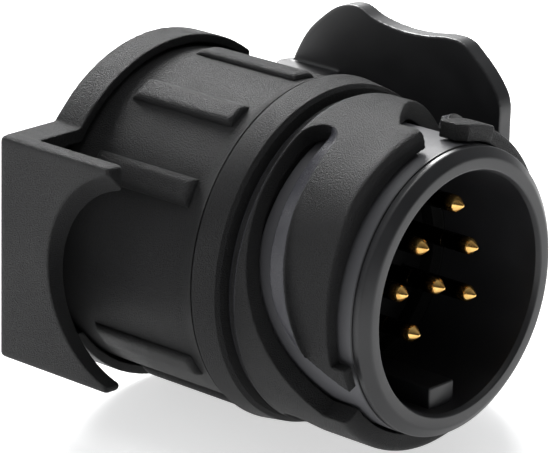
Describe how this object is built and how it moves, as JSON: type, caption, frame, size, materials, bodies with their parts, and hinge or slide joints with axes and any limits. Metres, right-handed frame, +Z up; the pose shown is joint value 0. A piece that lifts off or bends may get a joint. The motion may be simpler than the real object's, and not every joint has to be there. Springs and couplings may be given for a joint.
{
  "type": "trailer wiring adapter",
  "caption": "Round trailer wiring adapter: a bayonet plug with gold contact pins in front, a ribbed grip barrel, and a socket behind a sprung side-hinged lid.",
  "frame": {"origin": "where the connector's axis meets the flat back of the closed lid", "axes": "+X along the connector's axis, out of the plug's mouth; +Y towards the lid's hinge and the wing; +Z up, with the plug's key at the bottom"},
  "size_m": [0.0551, 0.0568, 0.0508],
  "materials": {
    "grained_black": "fine moulded grain",
    "smooth_black": "smooth satin moulding",
    "insulator": "matte moulding",
    "gold_contact": "gold plated, polished",
    "brass_contact": "machined",
    "zinc_steel": "zinc plated",
    "seal_rubber": "matte",
    "lead_yellow": "smooth insulation",
    "lead_blue": "smooth insulation",
    "lead_white": "smooth insulation",
    "lead_green": "smooth insulation",
    "lead_brown": "smooth insulation",
    "lead_red": "smooth insulation",
    "lead_black": "smooth insulation"
  },
  "bodies": {
    "housing": {"bayonet_collar": "grained_black", "front_housing": "grained_black", "housing_seal": "seal_rubber", "grip_barrel": "grained_black", "wing_bracket": "smooth_black", "socket_insert": "insulator", "socket_contact_1": "brass_contact", "socket_contact_2": "brass_contact", "socket_contact_3": "brass_contact", "socket_contact_4": "brass_contact", "socket_contact_5": "brass_contact", "socket_contact_6": "brass_contact", "socket_contact_7": "brass_contact", "lead_1": "lead_yellow", "lead_2": "lead_blue", "lead_3": "lead_white", "lead_4": "lead_green", "lead_5": "lead_brown", "lead_6": "lead_red", "lead_7": "lead_black", "hinge_pin": "zinc_steel", "lid_spring": "zinc_steel"},
    "plug_insert": {"plug_shroud": "smooth_black", "pin_carrier": "insulator", "contact_pin_1": "gold_contact", "contact_pin_2": "gold_contact", "contact_pin_3": "gold_contact", "contact_pin_4": "gold_contact", "contact_pin_5": "gold_contact", "contact_pin_6": "gold_contact", "contact_pin_7": "gold_contact", "retaining_ring": "zinc_steel"},
    "lid": {"rear_lid": "grained_black", "lid_gasket": "seal_rubber"}
  },
  "joints": [
    {"name": "bayonet_turn", "type": "hinge", "parent": "housing", "child": "plug_insert", "pos_m": [0.0357, 0, 0], "axis": [1, 0, 0], "range_deg": [-90, 0]},
    {"name": "lid_hinge", "type": "hinge", "parent": "housing", "child": "lid", "pos_m": [0.0041, 0.0242, 0], "axis": [0, 0, -1], "range_deg": [0, 105], "stiffness_Nm_per_rad": 0.03, "springref_deg": -45.84}
  ]
}
